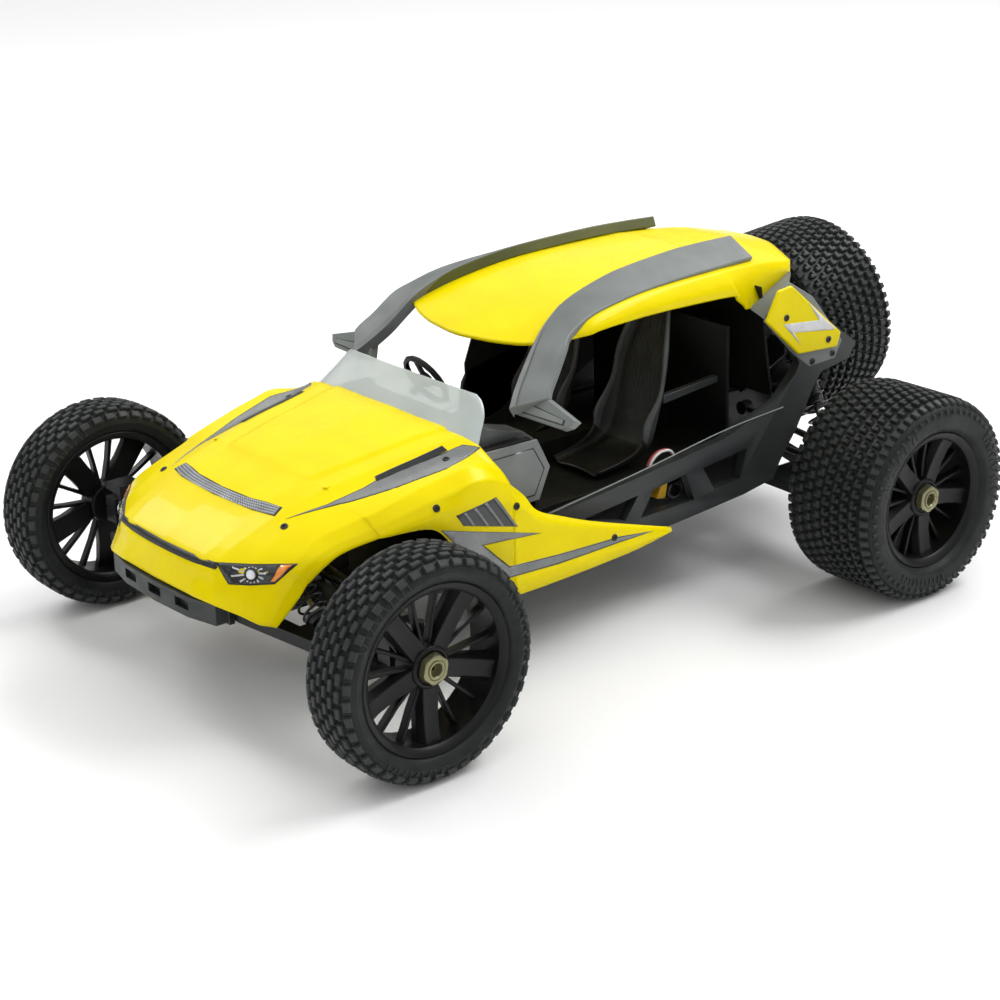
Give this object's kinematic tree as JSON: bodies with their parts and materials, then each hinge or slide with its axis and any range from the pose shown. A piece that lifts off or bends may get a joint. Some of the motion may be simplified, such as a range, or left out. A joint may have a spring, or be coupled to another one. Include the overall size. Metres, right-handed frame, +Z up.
{
  "type": "rc buggy",
  "caption": "Off-road remote-control buggy with open cockpit, sprung arms, steered narrow front wheels, wide knobbed rear wheels and a spare wheel on the tail.",
  "frame": {"origin": "on the ground under the centre of the bounding box, tyres resting on the ground", "axes": "+Z up, -Y towards the nose, +X towards the left side of the car"},
  "size_m": [0.426, 0.608, 0.2334],
  "materials": {
    "body_yellow": "glossy moulded polycarbonate",
    "trim_grey": "satin moulded nylon",
    "frame_charcoal": "satin moulded nylon",
    "part_black": "matt moulded nylon",
    "tyre_black": "matt rubber",
    "rim_black": "satin moulded nylon",
    "seat_grey": "matt vacuum-formed sheet",
    "steel": "bright turned steel",
    "nut_olive": "dark anodised nut",
    "battery_wrap": "shrink-wrapped pack",
    "screen_clear": "clear polycarbonate"
  },
  "bodies": {
    "chassis": {"chassis_plate": "frame_charcoal", "front_gearbox": "part_black", "rear_gearbox": "part_black", "side_frame_left": "frame_charcoal", "side_frame_right": "frame_charcoal", "interior_tray": "part_black", "seat_left": "seat_grey", "seat_right": "seat_grey", "steering_wheel": "part_black", "battery_pack": "battery_wrap", "motor": "steel", "steering_servo": "part_black", "hood_shell": "body_yellow", "windscreen": "screen_clear", "roof_shell": "body_yellow", "roof_rail_left": "trim_grey", "roof_rail_right": "trim_grey", "rear_plate_left": "body_yellow", "rear_plate_right": "body_yellow", "front_bumper": "frame_charcoal", "spare_tyre": "tyre_black", "spare_rim": "rim_black", "spare_wheel_bracket": "nut_olive"},
    "steering_link": {"steering_link": "part_black"},
    "arm_front_left": {"lower_arm_front_left": "part_black"},
    "link_front_left": {"upper_link_front_left": "steel"},
    "carrier_front_left": {"hub_carrier_front_left": "part_black"},
    "shock_front_left": {"shock_body_front_left": "part_black"},
    "shock_rod_front_left": {"shock_rod_front_left": "steel"},
    "wheel_front_left": {"tyre_front_left": "tyre_black", "rim_front_left": "rim_black", "axle_and_nut_front_left": "nut_olive"},
    "knuckle_left": {"steering_knuckle_left": "part_black"},
    "tie_rod_left": {"tie_rod_left": "steel"},
    "arm_rear_left": {"lower_arm_rear_left": "part_black"},
    "link_rear_left": {"upper_link_rear_left": "steel"},
    "carrier_rear_left": {"hub_carrier_rear_left": "part_black"},
    "shock_rear_left": {"shock_body_rear_left": "part_black"},
    "shock_rod_rear_left": {"shock_rod_rear_left": "steel"},
    "wheel_rear_left": {"tyre_rear_left": "tyre_black", "rim_rear_left": "rim_black", "axle_and_nut_rear_left": "nut_olive"},
    "arm_front_right": {"lower_arm_front_right": "part_black"},
    "link_front_right": {"upper_link_front_right": "steel"},
    "carrier_front_right": {"hub_carrier_front_right": "part_black"},
    "shock_front_right": {"shock_body_front_right": "part_black"},
    "shock_rod_front_right": {"shock_rod_front_right": "steel"},
    "wheel_front_right": {"tyre_front_right": "tyre_black", "rim_front_right": "rim_black", "axle_and_nut_front_right": "nut_olive"},
    "knuckle_right": {"steering_knuckle_right": "part_black"},
    "tie_rod_right": {"tie_rod_right": "steel"},
    "arm_rear_right": {"lower_arm_rear_right": "part_black"},
    "link_rear_right": {"upper_link_rear_right": "steel"},
    "carrier_rear_right": {"hub_carrier_rear_right": "part_black"},
    "shock_rear_right": {"shock_body_rear_right": "part_black"},
    "shock_rod_rear_right": {"shock_rod_rear_right": "steel"},
    "wheel_rear_right": {"tyre_rear_right": "tyre_black", "rim_rear_right": "rim_black", "axle_and_nut_rear_right": "nut_olive"}
  },
  "joints": [
    {"name": "steering_link_slide", "type": "slide", "parent": "chassis", "child": "steering_link", "axis": [1, 0, 0], "range_m": [-0.0105, 0.0105]},
    {"name": "suspension_front_left", "type": "hinge", "parent": "chassis", "child": "arm_front_left", "pos_m": [0.032, -0.232, 0.066], "axis": [0, -1, 0], "range_deg": [-12, 12], "stiffness_Nm_per_rad": 2, "springref_deg": -13.75},
    {"name": "upper_link_front_left", "type": "hinge", "parent": "chassis", "child": "link_front_left", "pos_m": [0.038, -0.2228, 0.101], "axis": [0, -1, 0], "range_deg": [-14.1, 14.1]},
    {"name": "hub_pivot_front_left", "type": "hinge", "parent": "arm_front_left", "child": "carrier_front_left", "pos_m": [0.146, -0.232, 0.058], "axis": [0, -1, 0], "range_deg": [-12.2, 12.2]},
    {"name": "shock_pivot_front_left", "type": "hinge", "parent": "chassis", "child": "shock_front_left", "pos_m": [0.05, -0.2448, 0.113], "axis": [0, -1, 0], "range_deg": [-9.8, 9.8]},
    {"name": "shock_slide_front_left", "type": "slide", "parent": "shock_front_left", "child": "shock_rod_front_left", "axis": [0.7932, 0, -0.609], "range_m": [-0.0103, 0.0103]},
    {"name": "steering_left", "type": "hinge", "parent": "carrier_front_left", "child": "knuckle_left", "pos_m": [0.154, -0.232, 0.072], "axis": [0, 0, 1], "range_deg": [-25, 25]},
    {"name": "tie_rod_pivot_left", "type": "hinge", "parent": "steering_link", "child": "tie_rod_left", "pos_m": [0.036, -0.2098, 0.082], "axis": [0, -1, 0], "range_deg": [-12, 12]},
    {"name": "wheel_spin_front_left", "type": "hinge", "parent": "knuckle_left", "child": "wheel_front_left", "pos_m": [0.181, -0.232, 0.072], "axis": [1, 0, 0], "continuous": true},
    {"name": "suspension_rear_left", "type": "hinge", "parent": "chassis", "child": "arm_rear_left", "pos_m": [0.03, 0.1864, 0.062], "axis": [0, -1, 0], "range_deg": [-12, 12], "stiffness_Nm_per_rad": 3.6, "springref_deg": -20.05},
    {"name": "upper_link_rear_left", "type": "hinge", "parent": "chassis", "child": "link_rear_left", "pos_m": [0.036, 0.1782, 0.099], "axis": [0, -1, 0], "range_deg": [-14.6, 14.6]},
    {"name": "hub_pivot_rear_left", "type": "hinge", "parent": "arm_rear_left", "child": "carrier_rear_left", "pos_m": [0.124, 0.1864, 0.053], "axis": [0, -1, 0], "range_deg": [-12.2, 12.2]},
    {"name": "shock_pivot_rear_left", "type": "hinge", "parent": "chassis", "child": "shock_rear_left", "pos_m": [0.058, 0.2032, 0.15], "axis": [0, -1, 0], "range_deg": [-4.1, 4.1]},
    {"name": "shock_slide_rear_left", "type": "slide", "parent": "shock_rear_left", "child": "shock_rod_rear_left", "axis": [0.4847, 0, -0.8747], "range_m": [-0.0143, 0.0143]},
    {"name": "wheel_spin_rear_left", "type": "hinge", "parent": "carrier_rear_left", "child": "wheel_rear_left", "pos_m": [0.175, 0.1864, 0.072], "axis": [1, 0, 0], "continuous": true},
    {"name": "suspension_front_right", "type": "hinge", "parent": "chassis", "child": "arm_front_right", "pos_m": [-0.032, -0.232, 0.066], "axis": [0, 1, 0], "range_deg": [-12, 12], "stiffness_Nm_per_rad": 2, "springref_deg": -13.75},
    {"name": "upper_link_front_right", "type": "hinge", "parent": "chassis", "child": "link_front_right", "pos_m": [-0.038, -0.2228, 0.101], "axis": [0, 1, 0], "range_deg": [-14.1, 14.1]},
    {"name": "hub_pivot_front_right", "type": "hinge", "parent": "arm_front_right", "child": "carrier_front_right", "pos_m": [-0.146, -0.232, 0.058], "axis": [0, 1, 0], "range_deg": [-12.2, 12.2]},
    {"name": "shock_pivot_front_right", "type": "hinge", "parent": "chassis", "child": "shock_front_right", "pos_m": [-0.05, -0.2448, 0.113], "axis": [0, 1, 0], "range_deg": [-9.8, 9.8]},
    {"name": "shock_slide_front_right", "type": "slide", "parent": "shock_front_right", "child": "shock_rod_front_right", "axis": [-0.7932, 0, -0.609], "range_m": [-0.0103, 0.0103]},
    {"name": "steering_right", "type": "hinge", "parent": "carrier_front_right", "child": "knuckle_right", "pos_m": [-0.154, -0.232, 0.072], "axis": [0, 0, 1], "range_deg": [-25, 25]},
    {"name": "tie_rod_pivot_right", "type": "hinge", "parent": "steering_link", "child": "tie_rod_right", "pos_m": [-0.036, -0.2098, 0.082], "axis": [0, 1, 0], "range_deg": [-12, 12]},
    {"name": "wheel_spin_front_right", "type": "hinge", "parent": "knuckle_right", "child": "wheel_front_right", "pos_m": [-0.181, -0.232, 0.072], "axis": [1, 0, 0], "continuous": true},
    {"name": "suspension_rear_right", "type": "hinge", "parent": "chassis", "child": "arm_rear_right", "pos_m": [-0.03, 0.1864, 0.062], "axis": [0, 1, 0], "range_deg": [-12, 12], "stiffness_Nm_per_rad": 3.6, "springref_deg": -20.05},
    {"name": "upper_link_rear_right", "type": "hinge", "parent": "chassis", "child": "link_rear_right", "pos_m": [-0.036, 0.1782, 0.099], "axis": [0, 1, 0], "range_deg": [-14.6, 14.6]},
    {"name": "hub_pivot_rear_right", "type": "hinge", "parent": "arm_rear_right", "child": "carrier_rear_right", "pos_m": [-0.124, 0.1864, 0.053], "axis": [0, 1, 0], "range_deg": [-12.2, 12.2]},
    {"name": "shock_pivot_rear_right", "type": "hinge", "parent": "chassis", "child": "shock_rear_right", "pos_m": [-0.058, 0.2032, 0.15], "axis": [0, 1, 0], "range_deg": [-4.1, 4.1]},
    {"name": "shock_slide_rear_right", "type": "slide", "parent": "shock_rear_right", "child": "shock_rod_rear_right", "axis": [-0.4847, 0, -0.8747], "range_m": [-0.0143, 0.0143]},
    {"name": "wheel_spin_rear_right", "type": "hinge", "parent": "carrier_rear_right", "child": "wheel_rear_right", "pos_m": [-0.175, 0.1864, 0.072], "axis": [1, 0, 0], "continuous": true}
  ],
  "couplings": [
    {"joint": "upper_link_front_left", "follows": "suspension_front_left", "ratio": 1.1617},
    {"joint": "hub_pivot_front_left", "follows": "suspension_front_left", "ratio": -1},
    {"joint": "shock_pivot_front_left", "follows": "suspension_front_left", "ratio": 0.8037},
    {"joint": "shock_slide_front_left", "follows": "suspension_front_left", "m_per_rad": -0.04806},
    {"joint": "tie_rod_pivot_left", "follows": "suspension_front_left", "ratio": 0.9915},
    {"joint": "upper_link_rear_left", "follows": "suspension_rear_left", "ratio": 1.203},
    {"joint": "hub_pivot_rear_left", "follows": "suspension_rear_left", "ratio": -1},
    {"joint": "shock_pivot_rear_left", "follows": "suspension_rear_left", "ratio": 0.3276},
    {"joint": "shock_slide_rear_left", "follows": "suspension_rear_left", "m_per_rad": -0.06698},
    {"joint": "upper_link_front_right", "follows": "suspension_front_right", "ratio": 1.1617},
    {"joint": "hub_pivot_front_right", "follows": "suspension_front_right", "ratio": -1},
    {"joint": "shock_pivot_front_right", "follows": "suspension_front_right", "ratio": 0.8037},
    {"joint": "shock_slide_front_right", "follows": "suspension_front_right", "m_per_rad": -0.04806},
    {"joint": "tie_rod_pivot_right", "follows": "suspension_front_right", "ratio": 0.9915},
    {"joint": "upper_link_rear_right", "follows": "suspension_rear_right", "ratio": 1.203},
    {"joint": "hub_pivot_rear_right", "follows": "suspension_rear_right", "ratio": -1},
    {"joint": "shock_pivot_rear_right", "follows": "suspension_rear_right", "ratio": 0.3276},
    {"joint": "shock_slide_rear_right", "follows": "suspension_rear_right", "m_per_rad": -0.06698},
    {"joint": "steering_right", "follows": "steering_left", "ratio": 1},
    {"joint": "steering_link_slide", "follows": "steering_left", "m_per_rad": -0.0215}
  ]
}
